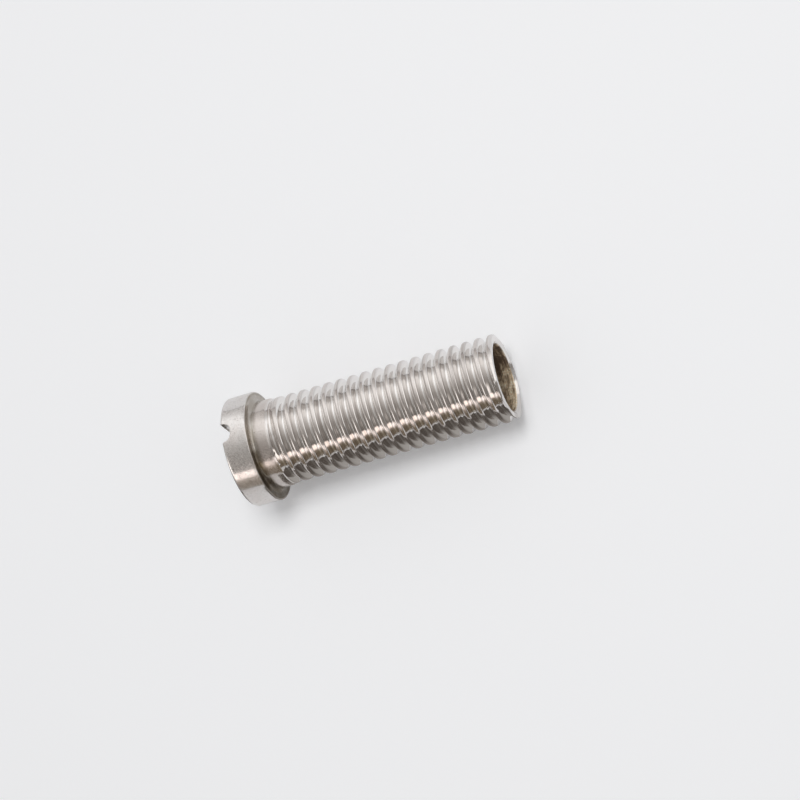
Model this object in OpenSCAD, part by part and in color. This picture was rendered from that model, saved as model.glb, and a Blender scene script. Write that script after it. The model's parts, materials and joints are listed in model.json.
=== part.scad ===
// Hollow slotted screw that clamps a sink strainer to its drain body
// Turned in one piece and threaded up to a plain neck; millimetres
// It stands on its head: the slotted face is at z = 0 and the axis runs up Z to the tip

/* [Head] */
// Height of the head, face to underside
head_h = 3.5; // [2.5:0.1:6]
// How far the head stands out past the neck, all round
head_overhang = 1.475; // [0.8:0.025:4]
// Rounding of the edge round the slotted face
face_edge_r = 0.35; // [0.1:0.05:0.8]
// Rounding of the edge round the underside
rim_edge_r = 0.15; // [0.05:0.05:0.4]

/* [Driver slot] */
// Width of the slot at the face
slot_w = 2.5; // [1.5:0.1:4]
// Depth of the slot from the face
slot_depth = 1.25; // [0.8:0.05:2]
// Rounding of the slot's two floor corners
slot_floor_r = 1.1; // [0.2:0.05:1.2]

/* [Shank] */
// Length from the slotted face to the tip
length = 37; // [25:0.5:50]
// Length of the plain neck, from the head's underside to the thread
neck_l = 2.3; // [1.5:0.1:6]
// Radius that the neck falls short of the nominal thread radius
neck_cut = 0.125; // [0.05:0.025:0.2]
// Fillet where the neck meets the head's underside
fillet_r = 0.6; // [0.2:0.1:0.8]

/* [Thread] */
// Nominal thread diameter
thread_d = 12; // [10:0.5:20]
// Thread pitch
pitch = 1.75; // [1.5:0.25:2.5]
// Radius that the finished crests fall short of the nominal thread radius
crest_cut = 0.25; // [0.2:0.05:0.35]
// Width of the flat at the root
root_flat = 0.3; // [0.2:0.05:0.4]
// Angle between a thread's two flanks
flank_angle = 60; // [50:1:60]
// Height over which the crest's corners are rounded off
crest_round = 0.15; // [0.05:0.05:0.2]
// Turns over which the groove fades out at the neck
fade_turns = 0.25; // [0.1:0.05:2]
// Angle about the axis at which a crest runs out through the tip
crest_angle_at_tip = -48; // [-180:1:180]
// Chamfer on the thread's start at the tip
tip_chamfer = 0.3; // [0.1:0.05:0.6]

/* [Bore] */
// Wall left between the thread's root and the bore
wall = 0.475; // [0.4:0.025:1.5]
// Break of the bore's two edges
bore_edge = 0.15; // [0.05:0.05:0.3]

/* [Hidden] */
$fn = 96;
// Steps that one turn of the thread is drawn with
STEPS = 36;
// Depth of a standard metric thread, as a share of its pitch
DEPTH_PER_PITCH = 0.61343;
// Overshoot that lets one cut run clear of a face
CLEAR = 1;
// Straight taper that ends the neck above the first groove
TAPER_L = 0.35;

neck_r = thread_d/2 - neck_cut;
crest_r = thread_d/2 - crest_cut;
root_r = thread_d/2 - DEPTH_PER_PITCH*pitch;
bore_r = root_r - wall;
head_r = neck_r + head_overhang;
neck_top = head_h + neck_l;

// One thread form, from the middle of one groove to the middle of the next
flank_slope = tan(flank_angle/2);
crest_w = pitch - root_flat - 2*(crest_r - root_r)*flank_slope;
crest_drop = min(crest_round, crest_w/3);
shoulder_r = crest_r - crest_drop;
shoulder_z = root_flat/2 + (shoulder_r - root_r)*flank_slope;
crest_z = pitch/2 - crest_w/2 + crest_drop;
FORM = [
    [-root_flat/2, root_r],
    [root_flat/2, root_r],
    [shoulder_z, shoulder_r],
    [crest_z, crest_r],
    [pitch - crest_z, crest_r],
    [pitch - shoulder_z, shoulder_r]
];

// The helix starts inside the neck and runs on past the tip, where it is trimmed
helix_z = neck_top - pitch - CLEAR/4;
helix_turns = (length - helix_z)/pitch + CLEAR/2;
helix_steps = ceil(helix_turns*STEPS);
helix_angle = crest_angle_at_tip - 360*(length - helix_z - pitch/2)/pitch;
fade_from = STEPS*(neck_top - helix_z)/pitch;

function groove_depth(i) = min(1, max(0, (i - fade_from)/(STEPS*fade_turns)));

function thread_point(i, j) =
    let (
        r = crest_r - groove_depth(i)*(crest_r - FORM[j][1]),
        a = helix_angle + 360*i/STEPS
    )
    [r*cos(a), r*sin(a), helix_z + pitch*i/STEPS + FORM[j][0]];

// The last point of a form is the first one of the same form a turn later
function point_index(i, j) = j < len(FORM) ? i*len(FORM) + j : (i + STEPS)*len(FORM) + j - len(FORM);

// Outline that closes the helix at one end: a full turn of root edge and the form's own step
function end_loop(i) = concat(
    [for (k = [0:STEPS]) point_index(i + k, 0)],
    [for (j = [len(FORM) - 1:-1:1]) point_index(i, j)]
);

module threaded_rod() {
    forms = len(FORM);
    rows = helix_steps + STEPS;
    points = [for (i = [0:rows]) for (j = [0:forms - 1]) thread_point(i, j)];
    low = len(points);
    high = low + 1;
    low_loop = end_loop(0);
    high_loop = end_loop(helix_steps);
    ends = [
        [0, 0, helix_z - CLEAR],
        [0, 0, helix_z + pitch*(rows/STEPS) + CLEAR]
    ];
    skin = [
        for (i = [0:helix_steps - 1]) for (j = [0:forms - 1]) for (half = [0, 1])
            half == 0
                ? [point_index(i, j), point_index(i, j + 1), point_index(i + 1, j)]
                : [point_index(i + 1, j), point_index(i, j + 1), point_index(i + 1, j + 1)]
    ];
    low_cap = [
        for (k = [0:len(low_loop) - 1])
            [low, low_loop[k], low_loop[(k + 1) % len(low_loop)]]
    ];
    high_cap = [
        for (k = [0:len(high_loop) - 1])
            [high, high_loop[(k + 1) % len(high_loop)], high_loop[k]]
    ];
    polyhedron(concat(points, ends), concat(skin, low_cap, high_cap), convexity = 20);
}

// Space that the finished thread keeps to: flat at the tip, with the start chamfered at 45 degrees
module tip_envelope() {
    outer = neck_r + CLEAR;
    rotate_extrude()
        polygon([
            [0, 0],
            [outer, 0],
            [outer, length - tip_chamfer - (outer - crest_r)],
            [crest_r - tip_chamfer, length],
            [0, length]
        ]);
}

module thread() {
    intersection() {
        threaded_rod();
        tip_envelope();
    }
}

// Square corner with a quarter circle left out; turned by angle and subtracted, it rounds an edge
module corner(r, angle) {
    rotate(angle)
        difference() {
            translate([-r, -r]) square(r + CLEAR);
            translate([-r, -r]) circle(r);
        }
}

module head_and_neck() {
    rotate_extrude() {
        difference() {
            square([head_r, head_h]);
            translate([head_r, 0]) corner(face_edge_r, -90);
            translate([head_r, head_h]) corner(rim_edge_r, 0);
        }
        difference() {
            translate([0, head_h/2]) square([neck_r + fillet_r, head_h/2 + fillet_r]);
            translate([neck_r + fillet_r, head_h + fillet_r]) circle(fillet_r);
        }
        polygon([
            [0, head_h/2],
            [neck_r, head_h/2],
            [neck_r, neck_top - TAPER_L],
            [crest_r - neck_cut, neck_top + TAPER_L/3],
            [0, neck_top + TAPER_L/3]
        ]);
    }
}

module bore() {
    translate([0, 0, -CLEAR]) cylinder(h = length + 2*CLEAR, r = bore_r);
    translate([0, 0, -CLEAR])
        cylinder(h = CLEAR + bore_edge, r1 = bore_r + bore_edge + CLEAR, r2 = bore_r);
    translate([0, 0, length - bore_edge])
        cylinder(h = CLEAR + bore_edge, r1 = bore_r, r2 = bore_r + bore_edge + CLEAR);
}

// Round-floored slot right across the face, along Y
module slot() {
    r = min(slot_floor_r, slot_w/2 - 0.05, slot_depth - 0.05);
    quarter = [for (a = [0:15:90]) [slot_w/2 - r + r*cos(a), slot_depth - r + r*sin(a)]];
    half = concat([[slot_w/2, -CLEAR]], quarter);
    other = [for (k = [len(half) - 1:-1:0]) [-half[k][0], half[k][1]]];
    rotate([90, 0, 0])
        linear_extrude(2*(head_r + CLEAR), center = true)
            polygon(concat(half, other));
}

module hollow_screw() {
    color([0.72, 0.69, 0.67])
        difference() {
            union() {
                head_and_neck();
                thread();
            }
            bore();
            slot();
        }
}

hollow_screw();
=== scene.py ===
"""Looks of the hollow sink strainer screw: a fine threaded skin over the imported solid, in plated nickel."""

import json
import math

import bpy
import numpy as np
from mathutils import Matrix, Vector, noise


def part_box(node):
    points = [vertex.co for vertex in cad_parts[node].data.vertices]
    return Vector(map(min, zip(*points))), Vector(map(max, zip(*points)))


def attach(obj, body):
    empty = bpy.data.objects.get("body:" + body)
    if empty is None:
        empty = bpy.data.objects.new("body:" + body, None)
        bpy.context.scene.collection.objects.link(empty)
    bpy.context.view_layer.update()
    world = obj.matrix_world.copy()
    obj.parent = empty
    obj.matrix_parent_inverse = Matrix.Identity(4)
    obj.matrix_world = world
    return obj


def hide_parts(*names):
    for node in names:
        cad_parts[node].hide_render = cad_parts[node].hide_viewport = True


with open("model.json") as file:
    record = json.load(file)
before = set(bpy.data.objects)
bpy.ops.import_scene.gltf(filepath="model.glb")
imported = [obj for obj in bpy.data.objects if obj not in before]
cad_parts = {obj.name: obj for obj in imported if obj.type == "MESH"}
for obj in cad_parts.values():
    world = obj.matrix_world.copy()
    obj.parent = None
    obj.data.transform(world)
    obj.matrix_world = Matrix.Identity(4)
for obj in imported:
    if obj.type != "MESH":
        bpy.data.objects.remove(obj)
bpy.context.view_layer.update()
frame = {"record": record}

# Millimetres to the frame's metres
MM = 0.001
# Node and material slot that the record names
NODE = "hollow_screw"
SLOT = "nickel_plate"


def mount(name):
    """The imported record's mount of that name."""
    return next(m for m in frame["record"]["mounts"] if m["name"] == name)


# Sizes that the frame gives, in millimetres
box_low, box_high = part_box(NODE)
LENGTH = (box_high[2] - box_low[2]) / MM
HEAD_R = (box_high[0] - box_low[0]) / MM / 2
HEAD_H = mount("seat")["pos_m"][2] / MM
NECK_R = mount("neck")["dims"]["r_mm"]
BORE_R = mount("bore")["dims"]["r_mm"]
THREAD_R = mount("thread")["dims"]["r_mm"]
NECK_TOP = LENGTH - mount("thread")["dims"]["length_mm"]

# Sizes shared with the part's source, in millimetres and degrees
FACE_EDGE_R = 0.35
RIM_EDGE_R = 0.15
FILLET_R = 0.6
SLOT_W = 2.5
SLOT_DEPTH = 1.25
SLOT_FLOOR_R = 1.1
PITCH = 1.75
CREST_CUT = 0.25
DEPTH_PER_PITCH = 0.61343
CREST_R = THREAD_R - CREST_CUT
ROOT_R = THREAD_R - DEPTH_PER_PITCH * PITCH
ROOT_FLAT = 0.3
FLANK_ANGLE = 60.0
FADE_TURNS = 0.25
CREST_ANGLE_AT_TIP = -48.0
TIP_CHAMFER = 0.3
BORE_EDGE = 0.15
NECK_TAPER = 0.35

# Fineness of the skin: degrees between plain columns, steps of its round stretches and rows of the others
PLAIN_STEP = 2.3
CORNER_STEPS = 5
FLOOR_STEPS = 6
MOUTH_STEPS = 4
STRIP_ROWS = 4
NECK_ROWS = 4
FILLET_STEPS = 8
UNDER_ROWS = 5
RIM_STEPS = 4
SIDE_ROWS = 13
EDGE_STEPS = 6
FACE_ROWS = 9
BORE_ROWS = 25
TIP_STEPS = 6
# Turns of thread drawn past each end before it is trimmed
SPARE_LOW = 2
SPARE_HIGH = 3
# Share of the bore's length over which its rows bend round the slot
SLOT_REACH = 0.25
# Edges that turn by more than this are shaded sharp, in degrees
SHARP_ANGLE = 38.0

# Softness that plating and tumbling left on the thread's corners
CREST_CORNER_R = 0.28
ROOT_CORNER_R = 0.24

# Softness that tumbling added to the tip's chamfer
TIP_SOFT = 0.15
# Lean of the rounded chamfer at the thread and at the flat end, in degrees
TIP_LEAN = (20.0, 45.0)
# Bevel of the bore's edge at the tip, wider than the break in the part's source
TIP_BEVEL = 0.4

# Softness that tumbling left on the slot's mouth
MOUTH_R = 0.15
# Width beside the slot's middle in which the skin's columns run along the slot
SLOT_STRIP = 2.1

# Softness of the step between the neck's taper and the first groove, as height and radius
STEP_SOFT = 0.05
STEP_LIFT = 0.02
# Softness of the corner where the taper leaves the neck: radius, then height above and below it
TAPER_DROP = 0.02
TAPER_ABOVE = 0.06
TAPER_BELOW = 0.05
# Plain neck left below that corner
NECK_PLAIN = 0.4

# Dents and waviness left by handling, in millimetres
WAVE = 0.012
WAVE_SIZE = 2.2
DING = 0.03
DING_SIZE = 0.9
# Level of noise from which a ding starts, and where in the noise the dings are taken from
DING_LEVEL = 0.45
DING_FROM = Vector((31.0, 7.0, 3.0))
# Height at both flat ends that handling leaves as it is
END_KEPT = 0.01

# Camera, as the photograph was taken: round the screw's middle, in degrees and metres
CAMERA_AZIMUTH = 25.81
CAMERA_ELEVATION = 17.145
CAMERA_DISTANCE = 0.33211
CAMERA_ROLL = 73.88
CAMERA_LENS = 115.5
CAMERA_CLIP = 0.01
SENSOR = 36.0
# How far the picture's middle lies right of and above the screw's middle
AIM_RIGHT = 0.00346
AIM_UP = 0.00196

# Table that the screw lies on in the photograph: turn of its normal from the camera, round the axis
TABLE_TURN = -12.0
TABLE_SIZE = 1.4


def arc(centre, radius, start, end, steps):
    """Points of a circular arc in the section plane, ends included, as (radius, height)."""
    angles = np.radians(np.linspace(start, end, steps + 1))
    return [(centre[0] + radius * math.cos(a), centre[1] + radius * math.sin(a)) for a in angles]


def slot_section():
    """Half of the slot's cross section, from its middle to the flat face, as (offset, depth)."""
    half = SLOT_W / 2
    floor = arc((half - SLOT_FLOOR_R, SLOT_DEPTH - SLOT_FLOOR_R), SLOT_FLOOR_R, 90, 0, FLOOR_STEPS)
    mouth = arc((half + MOUTH_R, MOUTH_R), MOUTH_R, 180, 270, MOUTH_STEPS)
    flat = [(x, 0.0) for x in np.linspace(half + MOUTH_R, SLOT_STRIP, STRIP_ROWS)]
    return [(0.0, SLOT_DEPTH)] + floor + mouth[1:] + flat[1:]


HALF_SLOT = slot_section()
SLOT_OFFSETS = np.array([-x for x, _ in HALF_SLOT[:0:-1]] + [x for x, _ in HALF_SLOT])
SLOT_DEPTHS = np.array([d for _, d in HALF_SLOT[:0:-1]] + [d for _, d in HALF_SLOT])
PLAIN_SPAN = 180.0 - 2 * math.degrees(math.asin(SLOT_STRIP / HEAD_R))
PLAIN_SHARES = np.linspace(0, 1, round(PLAIN_SPAN / PLAIN_STEP) + 1)[1:-1]


def column_angles(radius):
    """Angle of each of the skin's columns at a radius: along the slot near it, evenly spread elsewhere."""
    along = np.arcsin(SLOT_OFFSETS / radius)
    edge = math.asin(SLOT_STRIP / radius)
    plain = PLAIN_SHARES * (math.pi - 2 * edge)
    quarter = math.pi / 2
    front = -quarter + along
    right = -quarter + edge + plain
    back = quarter + along
    left = quarter + edge + plain
    return np.concatenate([front, right, back, left])


COLUMN_DEPTHS = np.concatenate(
    [SLOT_DEPTHS, np.zeros(len(PLAIN_SHARES)), SLOT_DEPTHS, np.zeros(len(PLAIN_SHARES))]
)
OUTER_ANGLES = column_angles(HEAD_R)
COLUMNS = len(OUTER_ANGLES)


def rounded(before, corner, after, radius):
    """Points of the arc that rounds a corner of an outline."""
    before, corner, after = Vector(before), Vector(corner), Vector(after)
    one = (before - corner).normalized()
    two = (after - corner).normalized()
    half = one.angle(two) / 2
    middle = corner + (one + two).normalized() * radius / math.sin(half)
    start = corner + one * radius / math.tan(half) - middle
    end = corner + two * radius / math.tan(half) - middle
    shares = [k / CORNER_STEPS for k in range(CORNER_STEPS + 1)]
    return [middle + start.slerp(end, share).normalized() * radius for share in shares]


def thread_form():
    """One thread form as (height, radius), from one groove's middle to the next, with rounded corners."""
    root = ROOT_FLAT / 2
    crest = root + (CREST_R - ROOT_R) * math.tan(math.radians(FLANK_ANGLE / 2))
    corners = [(-root, ROOT_R), (root, ROOT_R), (crest, CREST_R), (PITCH - crest, CREST_R)]
    radii = [ROOT_CORNER_R, ROOT_CORNER_R, CREST_CORNER_R, CREST_CORNER_R]
    points = []
    for k, (corner, radius) in enumerate(zip(corners, radii)):
        before = corners[k - 1] if k else (corners[-1][0] - PITCH, CREST_R)
        after = corners[k + 1] if k + 1 < len(corners) else (PITCH - root, ROOT_R)
        points += rounded(before, corner, after, radius)
    return np.array(points)


FORM = thread_form()
ROWS_PER_TURN = len(FORM)
# The neck tapers to a little under the crests and ends in a small step above the first groove
STEP_Z = NECK_TOP + NECK_TAPER / 3
STEP_R = CREST_R - (THREAD_R - NECK_R)
THREAD_LOW = STEP_Z + STEP_SOFT
THREAD_HIGH = LENGTH - TIP_CHAMFER - TIP_SOFT
HELIX_Z = NECK_TOP - PITCH
HELIX_ANGLE = math.radians(CREST_ANGLE_AT_TIP) - math.tau * (LENGTH - HELIX_Z - PITCH / 2) / PITCH


def thread_column(angle, turns):
    """Heights and radii down one column of the thread, before it is trimmed at the neck and the tip."""
    start = (angle - HELIX_ANGLE) / math.tau
    turn = np.repeat(start + turns, ROWS_PER_TURN)
    form = np.tile(FORM, (len(turns), 1))
    height = HELIX_Z + PITCH * turn + form[:, 0]
    fade_from = (NECK_TOP - HELIX_Z) / PITCH
    depth = np.clip((turn - fade_from) / FADE_TURNS, 0, 1)
    radius = CREST_R - depth * (CREST_R - form[:, 1])
    return height, radius


def thread_turns():
    """Turns of the helix that cover every column from the neck to past the tip."""
    lowest = HELIX_Z + PITCH * (OUTER_ANGLES - HELIX_ANGLE) / math.tau
    first = math.floor((THREAD_LOW - lowest.max()) / PITCH) - SPARE_LOW
    last = math.ceil((LENGTH - lowest.min()) / PITCH) + SPARE_HIGH
    return np.arange(first, last)


def thread_grid():
    """Trimmed heights and radii of the thread's skin, one row of arrays per column."""
    turns = thread_turns()
    heights, radii = [], []
    for angle in OUTER_ANGLES:
        height, radius = thread_column(angle, turns)
        trimmed = np.clip(height, THREAD_LOW, THREAD_HIGH)
        heights.append(trimmed)
        radii.append(np.interp(trimmed, height, radius))
    return np.array(heights), np.array(radii)


class Skin:
    """Collects the points and faces of the screw's surface."""

    def __init__(self):
        self.points = []
        self.faces = []

    def add(self, points):
        """Adds points and gives their numbers."""
        first = len(self.points)
        self.points.extend(points)
        return np.arange(first, len(self.points))

    def quad(self, corners):
        """Adds a face, dropping corners that fell together where the thread is trimmed."""
        kept = list(dict.fromkeys(int(c) for c in corners))
        if len(kept) > 2:
            self.faces.append(kept)

    def ring(self, radius, height, angles, lift_to=None):
        """Adds one ring; the part of it below lift_to follows the slot's floor."""
        heights = np.full(COLUMNS, height)
        if lift_to is not None:
            heights = COLUMN_DEPTHS + heights * (lift_to - COLUMN_DEPTHS) / lift_to
        return self.add(zip(radius * np.cos(angles), radius * np.sin(angles), heights))

    def join(self, rings):
        """Faces between each ring and the next."""
        for one, two in zip(rings, rings[1:]):
            for c in range(COLUMNS):
                d = (c + 1) % COLUMNS
                self.quad((one[c], two[c], two[d], one[d]))

    def thread(self):
        """Adds the helical part, and gives its rings at the neck and at the tip."""
        heights, radii = thread_grid()
        numbers = np.zeros(heights.shape, dtype=int)
        for c, angle in enumerate(OUTER_ANGLES):
            points = radii[c] * math.cos(angle), radii[c] * math.sin(angle), heights[c]
            numbers[c] = self.add(zip(*points))
            low = np.nonzero(heights[c] <= THREAD_LOW)[0]
            high = np.nonzero(heights[c] >= THREAD_HIGH)[0]
            numbers[c, low] = numbers[c, low[-1]]
            numbers[c, high] = numbers[c, high[0]]
        rows = heights.shape[1]
        for c in range(COLUMNS):
            d = (c + 1) % COLUMNS
            shift = ROWS_PER_TURN if d == 0 else 0
            for k in range(rows - 1 - shift):
                beside = k + shift
                self.quad((numbers[c, k], numbers[d, beside], numbers[d, beside + 1], numbers[c, k + 1]))
        return numbers[:, 0], numbers[:, -1]


def step_rings(skin, low_ring):
    """Rings from the thread's low end over the step to where the neck's taper reaches the crests."""
    low = np.array([skin.points[v] for v in low_ring])
    angles = np.arctan2(low[:, 1], low[:, 0])
    thread = np.hypot(low[:, 0], low[:, 1])
    rings = []
    for drop, lift in ((STEP_SOFT, 0.0), (2 * STEP_SOFT, STEP_LIFT)):
        radius = np.maximum(thread, STEP_R + lift)
        heights = np.full(COLUMNS, THREAD_LOW - drop)
        rings.append(skin.add(zip(radius * np.cos(angles), radius * np.sin(angles), heights)))
    return rings


def tip_rings(skin):
    """Rings from the flat end round the tip's rounded chamfer to just above the thread's high end."""
    turns = thread_turns()
    columns = [thread_column(angle, turns) for angle in OUTER_ANGLES]
    low, high = (math.radians(lean) for lean in TIP_LEAN)
    radius = (LENGTH - THREAD_HIGH) / (math.sin(high) - math.sin(low))
    centre = CREST_R - radius * math.cos(low), THREAD_HIGH - radius * math.sin(low)
    rings = []
    for limit, height in arc(centre, radius, TIP_LEAN[1], TIP_LEAN[0], TIP_STEPS)[:-1]:
        thread = np.array([np.interp(height, *column) for column in columns])
        reach = np.minimum(thread, limit)
        heights = np.full(COLUMNS, height)
        rings.append(skin.add(zip(reach * np.cos(OUTER_ANGLES), reach * np.sin(OUTER_ANGLES), heights)))
    return rings


def neck_and_head_section():
    """Outline from the taper, where it is as wide as the crests, over the neck and the seat to the rim."""
    taper_low = NECK_TOP - NECK_TAPER
    crest_z = STEP_Z - (STEP_Z - taper_low) * (CREST_R - STEP_R) / (NECK_R - STEP_R)
    taper = [
        (CREST_R, crest_z),
        (NECK_R - TAPER_DROP, taper_low + TAPER_ABOVE),
        (NECK_R, taper_low - TAPER_BELOW),
    ]
    neck = [(NECK_R, z) for z in np.linspace(taper_low - NECK_PLAIN, HEAD_H + FILLET_R, NECK_ROWS)]
    fillet = arc((NECK_R + FILLET_R, HEAD_H + FILLET_R), FILLET_R, 180, 270, FILLET_STEPS)
    under = [(r, HEAD_H) for r in np.linspace(NECK_R + FILLET_R, HEAD_R - RIM_EDGE_R, UNDER_ROWS)]
    return taper + neck + fillet[1:] + under[1:]


def head_side_section():
    """Outline round the rim, down the head's side and round the edge of the slotted face."""
    rim = arc((HEAD_R - RIM_EDGE_R, HEAD_H - RIM_EDGE_R), RIM_EDGE_R, 90, 0, RIM_STEPS)
    side = [(HEAD_R, z) for z in np.linspace(HEAD_H - RIM_EDGE_R, FACE_EDGE_R, SIDE_ROWS)]
    edge = arc((HEAD_R - FACE_EDGE_R, FACE_EDGE_R), FACE_EDGE_R, 0, -90, EDGE_STEPS)
    return rim[1:] + side[1:] + edge[1:]


def screw_mesh():
    """The whole screw as one closed skin."""
    skin = Skin()
    neck_ring, tip_ring = skin.thread()
    rings = [neck_ring] + step_rings(skin, neck_ring)
    rings += [skin.ring(r, z, OUTER_ANGLES) for r, z in neck_and_head_section()]
    rings += [skin.ring(r, z, column_angles(r), HEAD_H) for r, z in head_side_section()]
    face = np.linspace(HEAD_R - FACE_EDGE_R, BORE_R + BORE_EDGE, FACE_ROWS)[1:]
    rings += [skin.ring(r, 0.0, column_angles(r), HEAD_H) for r in face]
    bore_low = column_angles(BORE_R)
    for share in np.linspace(0, 1, BORE_ROWS):
        height = BORE_EDGE + share * (LENGTH - BORE_EDGE - TIP_BEVEL)
        angles = bore_low + share * (OUTER_ANGLES - bore_low)
        lift_to = LENGTH * SLOT_REACH if share < SLOT_REACH else None
        rings.append(skin.ring(BORE_R, height, angles, lift_to))
    rings.append(skin.ring(BORE_R + TIP_BEVEL, LENGTH, OUTER_ANGLES))
    rings += tip_rings(skin)
    rings.append(tip_ring)
    skin.join(rings)
    return skin


def handled(point):
    """A point of the skin in metres, moved by the slight waviness and dings of a tumbled screw."""
    p = Vector(point)
    radial = Vector((p.x, p.y, 0)).normalized()
    wave = noise.noise(p / WAVE_SIZE) * WAVE
    ding = max(0.0, noise.noise(p / DING_SIZE + DING_FROM) - DING_LEVEL) * DING
    inside = Vector((p.x, p.y, 0)).length < BORE_R + BORE_EDGE * 2
    near_end = min(p.z, LENGTH - p.z) < END_KEPT
    if inside or near_end:
        return p * MM
    return (p + radial * (min(0.0, wave) - ding)) * MM


def build_screw(material):
    """Makes the screw's piece, with smooth shading broken only at true edges."""
    skin = screw_mesh()
    used = sorted({v for face in skin.faces for v in face})
    number = {v: i for i, v in enumerate(used)}
    mesh = bpy.data.meshes.new("screw_skin")
    points = [handled(skin.points[v]) for v in used]
    faces = [[number[v] for v in face] for face in skin.faces]
    mesh.from_pydata(points, [], faces)
    mesh.validate()
    mesh.shade_smooth()
    mesh.set_sharp_from_angle(angle=math.radians(SHARP_ANGLE))
    mesh.materials.append(material)
    piece = bpy.data.objects.new("screw_skin", mesh)
    bpy.context.scene.collection.objects.link(piece)
    return piece


class Tree:
    """Small helper that adds and links shader nodes."""

    def __init__(self, tree):
        self.tree = tree
        tree.nodes.clear()

    def add(self, kind, inputs=None, **settings):
        """Adds a node, sets its properties and fills its inputs with values or other nodes' outputs."""
        node = self.tree.nodes.new(kind)
        for name, value in settings.items():
            setattr(node, name, value)
        for name, value in (inputs or {}).items():
            if isinstance(value, bpy.types.NodeSocket):
                self.tree.links.new(value, node.inputs[name])
            else:
                node.inputs[name].default_value = value
        return node

    def math(self, operation, *values):
        """Output of a math node."""
        return self.add("ShaderNodeMath", dict(enumerate(values)), operation=operation).outputs[0]

    def times(self, first, *others):
        """Product of values."""
        for other in others:
            first = self.math("MULTIPLY", first, other)
        return first

    def plus(self, first, *others):
        """Sum of values."""
        for other in others:
            first = self.math("ADD", first, other)
        return first

    def fade(self, value, start, end, low=0.0, high=1.0):
        """Value mapped smoothly from start..end to low..high."""
        inputs = {"Value": value, "From Min": start, "From Max": end, "To Min": low, "To Max": high}
        return self.add("ShaderNodeMapRange", inputs, interpolation_type="SMOOTHSTEP").outputs["Result"]

    def band(self, value, rise, fall):
        """Smooth rise from 0 to 1 over one stretch of a value, and fall back over another."""
        return self.times(self.fade(value, *rise), self.fade(value, *fall, 1.0, 0.0))

    def noise(self, place, scale, detail=3.0, roughness=0.5, distortion=0.0):
        """Output of a noise texture."""
        inputs = {"Vector": place, "Scale": scale, "Detail": detail, "Roughness": roughness}
        inputs["Distortion"] = distortion
        return self.add("ShaderNodeTexNoise", inputs).outputs["Fac"]

    def mix(self, share, one, two):
        """Colour between one and two."""
        node = self.add("ShaderNodeMix", data_type="RGBA")
        sockets = [s for s in node.inputs if s.enabled and s.type in ("VALUE", "RGBA")]
        for socket, value in zip(sockets, (share, one, two)):
            if isinstance(value, bpy.types.NodeSocket):
                self.tree.links.new(value, socket)
            else:
                socket.default_value = value
        return next(s for s in node.outputs if s.enabled and s.type == "RGBA")

    def glow(self, colour):
        """Ends the tree in an even glow."""
        shine = self.add("ShaderNodeEmission", {"Color": colour, "Strength": 1.0})
        self.add("ShaderNodeOutputMaterial", {"Surface": shine.outputs["Emission"]})


def new_material(name):
    """A new material, and the helper for its empty node tree."""
    material = bpy.data.materials.new(name)
    material.use_nodes = True
    return material, Tree(material.node_tree)


# Noises over the screw: bumps per metre, detail, roughness and distortion
BLOTCH = (420.0, 5.0, 0.6, 0.4)
FINE = (2600.0, 4.0, 0.6)
PITS = (4200.0, 3.0, 0.6)
DIMPLES = (5200.0, 3.0, 0.6)
GRAIN = (16000.0, 2.0, 0.5)
TARNISH = (1300.0, 6.0, 0.65, 0.8)

# Heights over which the neck's tone comes in at the fillet and goes out at the thread
NECK_IN = (HEAD_H + FILLET_R - 0.1, HEAD_H + FILLET_R)
NECK_OUT = (NECK_TOP - 0.3, NECK_TOP + 0.1)
# Heights over which the thread's tones come in, and radii over which its crests are rubbed
THREAD_IN = (NECK_TOP - 0.1, NECK_TOP + 0.3)
CREST_RUBBED = (CREST_R - 0.06, CREST_R - 0.025)
# Radii over which the plate ends and the bore's bare brass starts
BORE_OUT = (BORE_R + 0.03, BORE_R + BORE_EDGE)
# Cutting marks along the thread: streaks across one form, streaks along a turn, and their noise
MARKS_ACROSS = 8.0
MARKS_ALONG = 0.3
MARKS = (1.0, 2.0, 0.6)


class Plate:
    """Places on the screw, in millimetres, and the noises and masks that several layers of it share."""

    def __init__(self, tree):
        self.tree = tree
        self.place = tree.add("ShaderNodeTexCoord").outputs["Object"]
        split = tree.add("ShaderNodeSeparateXYZ", {"Vector": self.place})
        self.x, self.y, self.z = (tree.math("DIVIDE", split.outputs[axis], MM) for axis in "XYZ")
        self.radius = tree.math("SQRT", tree.plus(tree.times(self.x, self.x), tree.times(self.y, self.y)))
        self.turns = tree.math("DIVIDE", tree.math("ARCTAN2", self.y, self.x), math.tau)
        self.blotch = tree.noise(self.place, *BLOTCH)
        self.pits = tree.noise(self.place, *PITS)
        self.neck = tree.band(self.z, NECK_IN, NECK_OUT)
        self.thread = tree.fade(self.z, *THREAD_IN)
        self.inside = tree.fade(self.radius, *BORE_OUT, 1.0, 0.0)
        # Place within one thread form, from 0 in a groove's middle over 0.5 on the crest to 1
        climb = tree.math("DIVIDE", self.z, PITCH)
        start = 0.5 - LENGTH / PITCH + CREST_ANGLE_AT_TIP / 360
        self.phase = tree.math("FRACT", tree.plus(tree.math("SUBTRACT", climb, self.turns), start))
        streaks = self.streaks(tree.times(self.phase, MARKS_ACROSS), tree.times(climb, MARKS_ALONG), MARKS)
        self.marks = tree.times(streaks, self.thread)

    def streaks(self, across, along, settings):
        """Noise drawn out into streaks by two values of its own."""
        spot = self.tree.add("ShaderNodeCombineXYZ", {"X": across, "Y": along})
        return self.tree.noise(spot.outputs["Vector"], *settings)

    def towards(self, side):
        """Cosine of the turn round the axis from a side, which is given in degrees."""
        angle = math.radians(side)
        lean = self.tree.plus(
            self.tree.times(self.x, math.cos(angle)), self.tree.times(self.y, math.sin(angle))
        )
        return self.tree.math("DIVIDE", lean, self.radius)


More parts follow.
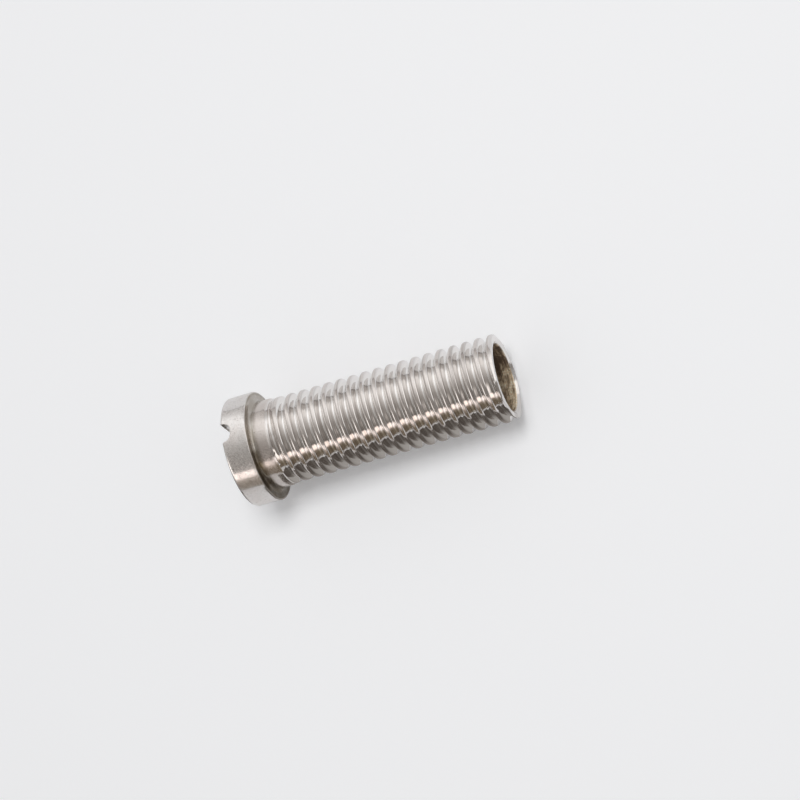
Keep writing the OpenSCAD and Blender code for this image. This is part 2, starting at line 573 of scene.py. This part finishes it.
# Nickel: its tones, the levels of noise between which each comes in, and the share that it reaches
NICKEL = (0.82, 0.79, 0.77, 1)
NICKEL_WARM = (0.79, 0.745, 0.72, 1)
NICKEL_DULL = (0.66, 0.625, 0.60, 1)
PIT = (0.36, 0.32, 0.29, 1)
RUBBED = (0.69, 0.625, 0.585, 1)
WARM_LEVELS = (0.42, 0.68)
DULL_LEVELS = (0.5, 0.75)
DULL_SHARE = 0.45
PIT_LEVELS = (0.56, 0.68)
# Share of the pits on the head and the neck and on the thread, and the heights between which it changes
PIT_SHARES = (0.5, 0.15)
PIT_HEIGHTS = (NECK_TOP - 0.2, NECK_TOP + 0.2)
NECK_SHARE = 0.75


def nickel_tone(plate):
    """Blotchy nickel with fine dull spots and pits, rubbed on the neck."""
    t = plate.tree
    colour = t.mix(t.fade(plate.blotch, *WARM_LEVELS), NICKEL, NICKEL_WARM)
    fine = t.noise(plate.place, *FINE)
    colour = t.mix(t.fade(fine, *DULL_LEVELS, 0.0, DULL_SHARE), colour, NICKEL_DULL)
    pitted = t.times(t.fade(plate.pits, *PIT_LEVELS), t.fade(plate.z, *PIT_HEIGHTS, *PIT_SHARES))
    colour = t.mix(pitted, colour, PIT)
    return t.mix(t.times(plate.neck, NECK_SHARE), colour, RUBBED)


# Thread: tones, and where in one form the flanks' tones come in and go out
GROOVE = (0.905, 0.88, 0.86, 1)
FLANK_DULL = (0.56, 0.525, 0.50, 1)
FLANK_BRIGHT = (0.94, 0.915, 0.895, 1)
MARK = (0.40, 0.36, 0.335, 1)
GROOVE_RADII = (ROOT_R, CREST_R - 0.05)
GROOVE_LEVELS = (0.3, 0.65)
GROOVE_SHARES = (0.5, 1.0)
CREST_SHARE = 0.5
LOW_FLANK_IN = (0.02, 0.09)
LOW_FLANK_OUT = (0.29, 0.37)
LOW_FLANK_SHARE = 0.5
HIGH_FLANK_IN = (0.66, 0.74)
HIGH_FLANK_OUT = (0.88, 0.98)
HIGH_FLANK_SHARE = 0.8
MARK_LEVELS = (0.50, 0.62)
MARK_SHARE = 0.5


def thread_tone(plate, colour):
    """Pale grooves, rubbed crests, a dull and a bright flank, and the tool's marks along them."""
    t = plate.tree
    groove = t.times(t.fade(plate.radius, *GROOVE_RADII, 1.0, 0.0), plate.thread)
    colour = t.mix(t.times(groove, t.fade(plate.blotch, *GROOVE_LEVELS, *GROOVE_SHARES)), colour, GROOVE)
    crest = t.times(t.fade(plate.radius, *CREST_RUBBED), plate.thread, CREST_SHARE)
    colour = t.mix(crest, colour, RUBBED)
    low_flank = t.times(t.band(plate.phase, LOW_FLANK_IN, LOW_FLANK_OUT), plate.thread, LOW_FLANK_SHARE)
    colour = t.mix(low_flank, colour, FLANK_DULL)
    colour = t.mix(t.fade(plate.marks, *MARK_LEVELS, 0.0, MARK_SHARE), colour, MARK)
    high_flank = t.times(t.band(plate.phase, HIGH_FLANK_IN, HIGH_FLANK_OUT), plate.thread, HIGH_FLANK_SHARE)
    return t.mix(high_flank, colour, FLANK_BRIGHT)


# Stain in the corner under the head, partly painted shade: tone, and the side, in degrees round the axis,
# where it is strongest
STAIN_AND_SHADE = (0.17, 0.13, 0.07, 1)
STAIN_SIDE = -4.0
# Cosines of the turn from that side over which it gains, and its strengths
STAIN_TURNS = (0.1, 0.85)
STAIN_SIDES = (0.6, 1.0)
# Levels of the blotches over which it gains, and its strengths
STAIN_LEVELS = (0.25, 0.6)
STAIN_SHARES = (0.55, 0.95)
# Heights and radii over which it comes in and goes out, and the share that is left on the rim
STAIN_IN = (HEAD_H - 0.1, HEAD_H)
STAIN_OUT = (HEAD_H + 0.25, HEAD_H + FILLET_R + 0.5)
STAIN_RIM = (HEAD_R - 0.25, HEAD_R - 0.1)
STAIN_RIM_SHARE = 0.1
# Two dark lines in it, all the way round, that are painted reflections: one along the seat's edge and one up
# in the fillet
SEAT_LINE = (NECK_R + FILLET_R - 0.15, HEAD_R - 0.35)
SEAT_LINE_SHARE = 0.8
FILLET_LINE_IN = (HEAD_H + 0.22, HEAD_H + 0.34)
FILLET_LINE_OUT = (HEAD_H + 0.46, HEAD_H + 0.62)
FILLET_LINE_SHARE = 0.7


def stain_and_shade_mask(plate):
    """How strong the brown stain under the head is, with its painted shade and its two painted reflection
    lines.
    """
    t = plate.tree
    inner = t.fade(plate.radius, *STAIN_RIM, 1.0, STAIN_RIM_SHARE)
    corner = t.times(t.band(plate.z, STAIN_IN, STAIN_OUT), inner)
    # Painted reflection lines along the seat's edge and up in the fillet
    seat_line = t.times(t.fade(plate.radius, *SEAT_LINE), corner, SEAT_LINE_SHARE)
    fillet_line = t.times(t.band(plate.z, FILLET_LINE_IN, FILLET_LINE_OUT), FILLET_LINE_SHARE)
    one_side = t.fade(plate.towards(STAIN_SIDE), *STAIN_TURNS, *STAIN_SIDES)
    spread = t.math("MAXIMUM", t.times(corner, one_side), t.math("MAXIMUM", seat_line, fillet_line))
    return t.times(spread, t.fade(plate.blotch, *STAIN_LEVELS, *STAIN_SHARES))


# Painted shade in the driver slot: tone, then reach across the slot, over its depth and out to the head's
# side
SLOT_SHADE = (0.15, 0.13, 0.11, 1)
SLOT_ACROSS = (SLOT_W / 2 + 0.05, SLOT_W / 2 + MOUTH_R)
SLOT_DEEP = (SLOT_DEPTH - 0.1, SLOT_DEPTH + 0.1)
SLOT_OUTER = (HEAD_R - 0.2, HEAD_R - 0.05)
# Radius less depth over which it gains from the bore outwards, and its strengths
SLOT_INNER = (5.5, 5.9)
SLOT_SHARES = (0.1, 0.95)


def slot_shade_mask(plate):
    """How much painted shade the slot gets: most near the head's side, and less the deeper it goes."""
    t = plate.tree
    across = t.fade(t.math("ABSOLUTE", plate.x), *SLOT_ACROSS, 1.0, 0.0)
    deep = t.fade(plate.z, *SLOT_DEEP, 1.0, 0.0)
    outer = t.fade(plate.radius, *SLOT_OUTER, 1.0, 0.0)
    inner = t.fade(t.math("SUBTRACT", plate.radius, plate.z), *SLOT_INNER, *SLOT_SHARES)
    return t.times(across, deep, outer, inner)


# Brass of the bore: tones, and the levels between which the brighter brass, partly painted light, and its
# painted glints come in
BORE_DARK = (0.15, 0.10, 0.068, 1)
BORE_BRASS = (0.90, 0.70, 0.47, 1)
BORE_GLINT = (1.0, 0.93, 0.76, 1)
BRASS_LEVELS = (0.32, 0.90)
GLINT_PITS = (0.50, 0.58)
GLINT_LEVELS = (0.56, 0.86)
# Side, in degrees round the axis, that painted light makes brighter, cosines of the turn from it, and what
# they add
LIT_SIDE = 88.0
LIT_TURNS = (0.50, 1.0)
LIT_SIDES = (-0.12, 0.17)
# Heights near the tip between which painted light makes the brass brighter, and what that adds
MOUTH_HEIGHTS = (LENGTH - 2.6, LENGTH - 0.2)
MOUTH_LIGHT = (-0.12, 0.08)
# Boring marks: streaks per millimetre, streaks per turn, their noise, its levels, and what they add
BORED_PER_MM = 2.6
BORED_PER_TURN = 9.0
BORED = (1.0, 3.0, 0.65)
BORED_LEVELS = (0.35, 0.65)
BORED_BARE = (-0.16, 0.16)


def bore_tone(plate):
    """Tarnished brass with boring marks, and painted light that makes it brighter on one side and near the
    tip, with painted glints.
    """
    t = plate.tree
    across = t.times(plate.z, BORED_PER_MM)
    streaks = plate.streaks(across, t.times(plate.turns, BORED_PER_TURN), BORED)
    bare_and_lit = t.plus(
        t.noise(plate.place, *TARNISH),
        t.fade(streaks, *BORED_LEVELS, *BORED_BARE),
        # Painted light: brighter on one side
        t.fade(plate.towards(LIT_SIDE), *LIT_TURNS, *LIT_SIDES),
        # Painted light: brighter towards the mouth
        t.fade(plate.z, *MOUTH_HEIGHTS, *MOUTH_LIGHT),
    )
    colour = t.mix(t.fade(bare_and_lit, *BRASS_LEVELS), BORE_DARK, BORE_BRASS)
    # Painted glints on the brighter brass
    glints = t.times(t.fade(plate.pits, *GLINT_PITS), t.fade(bare_and_lit, *GLINT_LEVELS))
    return t.mix(glints, colour, BORE_GLINT)


# Roughness of the plate between its clear and its blotched parts, and what grain, stain and bore add
PLATE_LEVELS = (0.3, 0.7)
PLATE_ROUGHNESS = (0.035, 0.075)
GRAIN_LEVELS = (0.45, 0.56)
GRAIN_ROUGHNESS = 0.36
STAIN_ROUGHNESS = 0.12
BORE_ROUGHNESS = 0.3
# Grain covers the head's side and the neck, and this share of the crests
HEAD_GRAIN = (HEAD_R - 0.06, HEAD_R - 0.03)
CREST_GRAIN_SHARE = 0.55


def plate_roughness(plate, stain_and_shade):
    """Roughness of the whole screw."""
    t = plate.tree
    plain = t.math("MAXIMUM", plate.neck, t.fade(plate.radius, *HEAD_GRAIN))
    worn = t.math("MAXIMUM", plain, t.fade(plate.radius, *CREST_RUBBED, 0.0, CREST_GRAIN_SHARE))
    grain = t.fade(t.noise(plate.place, *GRAIN), *GRAIN_LEVELS, 0.0, GRAIN_ROUGHNESS)
    return t.plus(
        t.fade(plate.blotch, *PLATE_LEVELS, *PLATE_ROUGHNESS),
        t.times(worn, grain),
        t.times(stain_and_shade, STAIN_ROUGHNESS),
        t.times(plate.inside, BORE_ROUGHNESS),
    )


# Depth, in metres, and strength of the cutting marks and of the plate's unevenness
MARK_DEPTH = 0.00001
MARK_STRENGTH = 0.8
UNEVEN_DEPTH = 0.00003
UNEVEN_STRENGTH = 0.12
# Shares of blotches and dimples in that unevenness
BLOTCH_SHARE = 0.6
DIMPLE_SHARE = 0.4


def plate_normal(plate):
    """Normal of the plate, scored along the thread and slightly uneven."""
    t = plate.tree
    dimples = t.times(t.noise(plate.place, *DIMPLES), DIMPLE_SHARE)
    uneven = t.plus(t.times(plate.blotch, BLOTCH_SHARE), dimples)
    scored = t.add(
        "ShaderNodeBump", {"Strength": MARK_STRENGTH, "Distance": MARK_DEPTH, "Height": plate.marks}
    )
    bumped = t.add(
        "ShaderNodeBump",
        {
            "Strength": UNEVEN_STRENGTH,
            "Distance": UNEVEN_DEPTH,
            "Height": uneven,
            "Normal": scored.outputs["Normal"],
        },
    )
    return bumped.outputs["Normal"]


# Share of the brass in the bore that tarnish keeps from shining as metal
BORE_DULL = 0.88


def nickel_plate():
    """Dulled nickel outside, a stain with painted shade and two painted reflection lines in the corner under
    the head, painted shade in the slot, and tarnished brass with painted light and glints in the bore.
    """
    material, t = new_material(SLOT)
    plate = Plate(t)
    stain_and_shade = stain_and_shade_mask(plate)
    colour = thread_tone(plate, nickel_tone(plate))
    # Stain under the head, partly painted shade, with two painted reflection lines
    colour = t.mix(stain_and_shade, colour, STAIN_AND_SHADE)
    # Painted shade in the driver slot
    colour = t.mix(slot_shade_mask(plate), colour, SLOT_SHADE)
    colour = t.mix(plate.inside, colour, bore_tone(plate))
    surface = t.add(
        "ShaderNodeBsdfPrincipled",
        {
            "Base Color": colour,
            "Metallic": t.math("SUBTRACT", 1.0, t.times(plate.inside, BORE_DULL)),
            "Roughness": plate_roughness(plate, stain_and_shade),
            "Normal": plate_normal(plate),
        },
    )
    t.add("ShaderNodeOutputMaterial", {"Surface": surface.outputs["BSDF"]})
    return material


# The screw's axis, and its middle in metres
AXIS = Vector((0, 0, 1))
MIDDLE = Vector((0, 0, LENGTH / 2 * MM))


def around(turn):
    """Unit vector across the screw's axis, turned from the camera's side towards the picture's bottom."""
    angle = math.radians(CAMERA_AZIMUTH - 90 + turn)
    return Vector((math.cos(angle), math.sin(angle), 0))


def build_camera():
    """The photograph's camera."""
    elevation = math.radians(CAMERA_ELEVATION)
    back = around(0) * math.cos(elevation) + AXIS * math.sin(elevation)
    place = MIDDLE + back * CAMERA_DISTANCE
    level_right = AXIS.cross(back).normalized()
    level_up = back.cross(level_right)
    roll = math.radians(CAMERA_ROLL)
    right = level_right * math.cos(roll) + level_up * math.sin(roll)
    up = back.cross(right)
    aim = MIDDLE + right * AIM_RIGHT + up * AIM_UP
    look = (place - aim).normalized()
    right = (right - look * right.dot(look)).normalized()
    up = look.cross(right)
    data = bpy.data.cameras.new("camera")
    data.sensor_width = SENSOR
    data.lens = CAMERA_LENS
    data.clip_start = CAMERA_CLIP
    camera = bpy.data.objects.new("camera", data)
    camera.matrix_world = Matrix.Translation(place) @ Matrix((right, up, look)).transposed().to_4x4()
    bpy.context.scene.collection.objects.link(camera)
    bpy.context.scene.camera = camera


# Tone of the table
TABLE = (0.89, 0.893, 0.905, 1)
# Paleness that the camera sees on the table beyond its light, and the share of it that reflections show
TABLE_LIFT = 0.17
TABLE_LIFT_SHARE = 0.35


def table_normal():
    """Normal of the plane that the head's rim and the tip both touch."""
    lean = (CREST_R - HEAD_R) / (LENGTH - TIP_CHAMFER - HEAD_H)
    return (around(TABLE_TURN) + AXIS * lean).normalized()


def table_depth(normal):
    """Distance from the origin to that plane, in metres."""
    return HEAD_R * MM * math.hypot(normal.x, normal.y) - normal.z * HEAD_H * MM


def table_material():
    """Pale paper that is clear from below, so that the other views look past it."""
    material, t = new_material("table")
    paper = t.add("ShaderNodeBsdfDiffuse", {"Color": TABLE})
    path = t.add("ShaderNodeLightPath").outputs
    seen = t.plus(path["Is Camera Ray"], t.times(path["Is Glossy Ray"], TABLE_LIFT_SHARE))
    pale = t.add("ShaderNodeEmission", {"Color": TABLE, "Strength": t.times(seen, TABLE_LIFT)})
    lifted = t.add("ShaderNodeAddShader", {0: paper.outputs[0], 1: pale.outputs[0]})
    clear = t.add("ShaderNodeBsdfTransparent")
    behind = t.add("ShaderNodeNewGeometry").outputs["Backfacing"]
    sides = t.add("ShaderNodeMixShader", {0: behind, 1: lifted.outputs[0], 2: clear.outputs[0]})
    t.add("ShaderNodeOutputMaterial", {"Surface": sides.outputs[0]})
    return material


def build_table():
    """Flat table that the screw lies on."""
    normal = table_normal()
    half = TABLE_SIZE / 2
    corners = [(-half, -half, 0), (half, -half, 0), (half, half, 0), (-half, half, 0)]
    mesh = bpy.data.meshes.new("table")
    mesh.from_pydata(corners, [], [(0, 1, 2, 3)])
    mesh.materials.append(table_material())
    table = bpy.data.objects.new("table", mesh)
    table.rotation_mode = "QUATERNION"
    table.rotation_quaternion = normal.to_track_quat("Z", "Y")
    table.location = MIDDLE - normal * (table_depth(normal) + normal.dot(MIDDLE))
    bpy.context.scene.collection.objects.link(table)


# Room round the screw: its bright and dark tones by their turn from the table's normal, in degrees
ROOM = [
    (-90, (0.37, 0.36, 0.35, 1)),
    (-86, (0.41, 0.40, 0.39, 1)),
    (-83, (0.54, 0.525, 0.515, 1)),
    (-74, (0.57, 0.555, 0.545, 1)),
    (-65, (0.74, 0.735, 0.73, 1)),
    (-54, (1.12, 1.12, 1.12, 1)),
    (-34, (1.08, 1.08, 1.08, 1)),
    (-16, (0.70, 0.69, 0.68, 1)),
    (0, (0.42, 0.405, 0.39, 1)),
    (20, (0.28, 0.265, 0.25, 1)),
    (47, (0.22, 0.205, 0.19, 1)),
    (53, (1.18, 1.09, 1.06, 1)),
    (60, (1.08, 0.99, 0.95, 1)),
    (67, (0.37, 0.315, 0.265, 1)),
    (75, (0.18, 0.15, 0.11, 1)),
    (90, (0.20, 0.165, 0.125, 1)),
]
# Half round tent that carries them, in metres
ROOM_RADIUS = 0.68
ROOM_HALF_LENGTH = 2.4
ROOM_STEPS = 48
# Tones that it fades to past the tip and past the head, and the distances from the screw's middle for that
ROOM_TIP_END = (1.15, 1.14, 1.12, 1)
ROOM_HEAD_END = (0.50, 0.485, 0.47, 1)
ROOM_FADE = (0.40, 0.85)
# Where along the axis those two tones change over
ENDS_MEET = (-0.1, 0.1)
# Dark lower part of the end past the tip: tone, and the turns over which it comes in
ROOM_TIP_LOW = (0.27, 0.255, 0.24, 1)
TIP_LOW_IN = (8, 24)
# Bright patch low past the head: tone, turns over which it comes in and goes out, and distances
HEAD_PATCH = (1.7, 1.66, 1.63, 1)
HEAD_PATCH_IN = (6, 36)
HEAD_PATCH_OUT = (54, 70)
PATCH_FADE = (0.34, 0.52)
# Distances past the middle from which the head's side reflects the room
HEAD_SIDE = (0.252, 0.259)
# Degrees by which the upper bands shift there, and the turns over which that goes out
HEAD_SKEW = 14
HEAD_SKEW_OUT = (-45, 10)
# Brighter window there: tone, and the turns over which it comes in and goes out
HEAD_WINDOW = (1.9, 1.68, 1.58, 1)
HEAD_WINDOW_IN = (47, 53)
HEAD_WINDOW_OUT = (59, 68)


def room_turns(angles):
    """Turns from the table's normal, in degrees, as the gradient round the room counts them."""
    return [0.5 + angle / 360 for angle in angles]


def room_bands(t, turn):
    """Tones of the room by their turn."""
    ramp = t.add("ShaderNodeValToRGB", {"Fac": turn})
    stops = ramp.color_ramp.elements
    # New stops start in the middle and are moved below
    while len(stops) < len(ROOM):
        stops.new(0.5)
    places = room_turns(angle for angle, _ in ROOM)
    for stop, place, (_, colour) in zip(stops, places, ROOM):
        stop.position = place
        stop.color = colour
    return ramp.outputs["Color"]


def room_material():
    """Soft glow in bands round the axis, plain towards both ends, with a window and a patch by the head."""
    material, t = new_material("room")
    place = t.add("ShaderNodeTexCoord").outputs["Object"]
    turn = t.add("ShaderNodeTexGradient", {"Vector": place}, gradient_type="RADIAL").outputs["Fac"]
    along = t.add("ShaderNodeSeparateXYZ", {"Vector": place}).outputs["Z"]
    back = t.times(along, -1.0)
    head_side = t.fade(back, *HEAD_SIDE)
    skew = t.fade(turn, *room_turns(HEAD_SKEW_OUT), HEAD_SKEW / 360, 0.0)
    colour = room_bands(t, t.plus(turn, t.times(head_side, skew)))
    window = t.band(turn, room_turns(HEAD_WINDOW_IN), room_turns(HEAD_WINDOW_OUT))
    colour = t.mix(t.times(window, head_side), colour, HEAD_WINDOW)
    tip_end = t.mix(t.fade(turn, *room_turns(TIP_LOW_IN)), ROOM_TIP_END, ROOM_TIP_LOW)
    ends = t.mix(t.fade(along, *ENDS_MEET), ROOM_HEAD_END, tip_end)
    colour = t.mix(t.fade(t.math("ABSOLUTE", along), *ROOM_FADE), colour, ends)
    patch = t.band(turn, room_turns(HEAD_PATCH_IN), room_turns(HEAD_PATCH_OUT))
    t.glow(t.mix(t.times(patch, t.fade(back, *PATCH_FADE)), colour, HEAD_PATCH))
    return material


def build_room():
    """Half round tent over the table; only reflections show it."""
    points = []
    for k in range(ROOM_STEPS + 1):
        angle = math.pi * (k / ROOM_STEPS - 0.5)
        x, y = ROOM_RADIUS * math.cos(angle), ROOM_RADIUS * math.sin(angle)
        points += [(x, y, -ROOM_HALF_LENGTH), (x, y, ROOM_HALF_LENGTH)]
    faces = [(2 * k, 2 * k + 1, 2 * k + 3, 2 * k + 2) for k in range(ROOM_STEPS)]
    mesh = bpy.data.meshes.new("room")
    mesh.from_pydata(points, [], faces)
    mesh.materials.append(room_material())
    room = bpy.data.objects.new("room", mesh)
    turned = Matrix.Rotation(math.radians(CAMERA_AZIMUTH - 90 + TABLE_TURN), 4, "Z")
    room.matrix_world = Matrix.Translation(MIDDLE) @ turned
    room.visible_camera = False
    room.visible_diffuse = False
    bpy.context.scene.collection.objects.link(room)


# Painted shadow of the table: a dark glowing card on it that only the thread's lower side reflects: its tone,
# and the tone of its near edge
CARD_SHADOW = (0.122, 0.110, 0.100, 1)
CARD_SHADOW_EDGE = (0.34, 0.325, 0.31, 1)
# Its reach out from the axis, in metres, and the distance from which it is fully dark
CARD_NEAR = 0.006
CARD_DARK = 0.016
CARD_FAR = 0.10
# Its reach along the axis, in metres, and how far both ends lean away with distance, as the reflections do
CARD_START = 0.0035
CARD_END = 0.046
CARD_LEAN = 0.3
# Height of the cards over the table, in metres
CARD_LIFT = 0.0002
# Second card of painted shadow past the head, seen only in the edge of the slotted face: its reach and its
# lean
HEAD_CARD_NEAR = 0.003
HEAD_CARD_START = -0.002
HEAD_CARD_END = -0.30
HEAD_CARD_LEAN = 0.5


def shadow_card_material():
    """Dark glow of painted shadow that gets paler towards the screw."""
    material, t = new_material("card")
    place = t.add("ShaderNodeTexCoord").outputs["Object"]
    out = t.add("ShaderNodeSeparateXYZ", {"Vector": place}).outputs["X"]
    t.glow(t.mix(t.fade(out, CARD_NEAR, CARD_DARK), CARD_SHADOW_EDGE, CARD_SHADOW))
    return material


def card_corners():
    """Corners of both cards, as distance out from the axis and along it."""
    reach = CARD_FAR - CARD_NEAR
    thread_card = [
        (CARD_NEAR, CARD_START),
        (CARD_FAR, CARD_START - CARD_LEAN * reach),
        (CARD_FAR, CARD_END + CARD_LEAN * reach),
        (CARD_NEAR, CARD_END),
    ]
    head_card = [
        (HEAD_CARD_NEAR, HEAD_CARD_END),
        (CARD_FAR, HEAD_CARD_END),
        (CARD_FAR, HEAD_CARD_START - HEAD_CARD_LEAN * CARD_FAR),
        (HEAD_CARD_NEAR, HEAD_CARD_START),
    ]
    return thread_card + head_card


def build_shadow_card():
    """Two flat cards of painted shadow lying just over the table; only reflections show them."""
    normal = table_normal()
    across = normal.cross(AXIS).normalized()
    if across.dot(around(90)) < 0:
        across = -across
    along = across.cross(normal).normalized()
    if along.dot(AXIS) < 0:
        along = -along
    foot = -normal * (table_depth(normal) - CARD_LIFT)
    mesh = bpy.data.meshes.new("card")
    mesh.from_pydata([(out, up, 0) for out, up in card_corners()], [], [(0, 1, 2, 3), (4, 5, 6, 7)])
    mesh.materials.append(shadow_card_material())
    card = bpy.data.objects.new("card", mesh)
    card.matrix_world = Matrix.Translation(foot) @ Matrix((across, along, normal)).transposed().to_4x4()
    card.visible_camera = False
    card.visible_diffuse = False
    card.visible_shadow = False
    bpy.context.scene.collection.objects.link(card)


# Soft key lamp that throws the shadow: turn round the axis, lean to the tip, distance, size and radiance
KEY_TURN = -21
KEY_LEAN = 6
KEY_DISTANCE = 0.6
KEY_SIZE = 0.24
KEY_RADIANCE = 8.6


def build_key():
    """Soft square lamp aimed at the screw; reflections show the room in its place."""
    lean = math.radians(KEY_LEAN)
    direction = around(KEY_TURN) * math.cos(lean) + AXIS * math.sin(lean)
    data = bpy.data.lights.new("key", "AREA")
    data.shape = "SQUARE"
    data.size = KEY_SIZE
    data.energy = KEY_RADIANCE * math.pi * KEY_SIZE ** 2
    lamp = bpy.data.objects.new("key", data)
    lamp.rotation_mode = "QUATERNION"
    lamp.rotation_quaternion = direction.to_track_quat("Z", "Y")
    lamp.location = MIDDLE + direction * KEY_DISTANCE
    lamp.visible_camera = False
    lamp.visible_glossy = False
    bpy.context.scene.collection.objects.link(lamp)


# Tone of the surroundings, and the one that the camera sees past the table
WORLD = (0.38, 0.38, 0.38, 1)
BACKDROP = (0.86, 0.865, 0.875, 1)


def build_world():
    """Plain surroundings, pale where the camera looks past the table."""
    world = bpy.data.worlds.new("surroundings")
    bpy.context.scene.world = world
    world.use_nodes = True
    t = Tree(world.node_tree)
    seen = t.add("ShaderNodeLightPath").outputs["Is Camera Ray"]
    sky = t.add("ShaderNodeBackground", {"Color": t.mix(seen, WORLD, BACKDROP), "Strength": 1.0})
    t.add("ShaderNodeOutputWorld", {"Surface": sky.outputs[0]})


def main():
    """Builds the screw, ties it to the frame and sets up the photograph round it."""
    screw = build_screw(nickel_plate())
    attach(screw, "root")
    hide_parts(NODE)
    build_camera()
    build_table()
    build_room()
    # Painted shadow of the table, seen only in reflections
    build_shadow_card()
    build_key()
    build_world()
    bpy.context.scene.view_settings.view_transform = "Standard"


main()
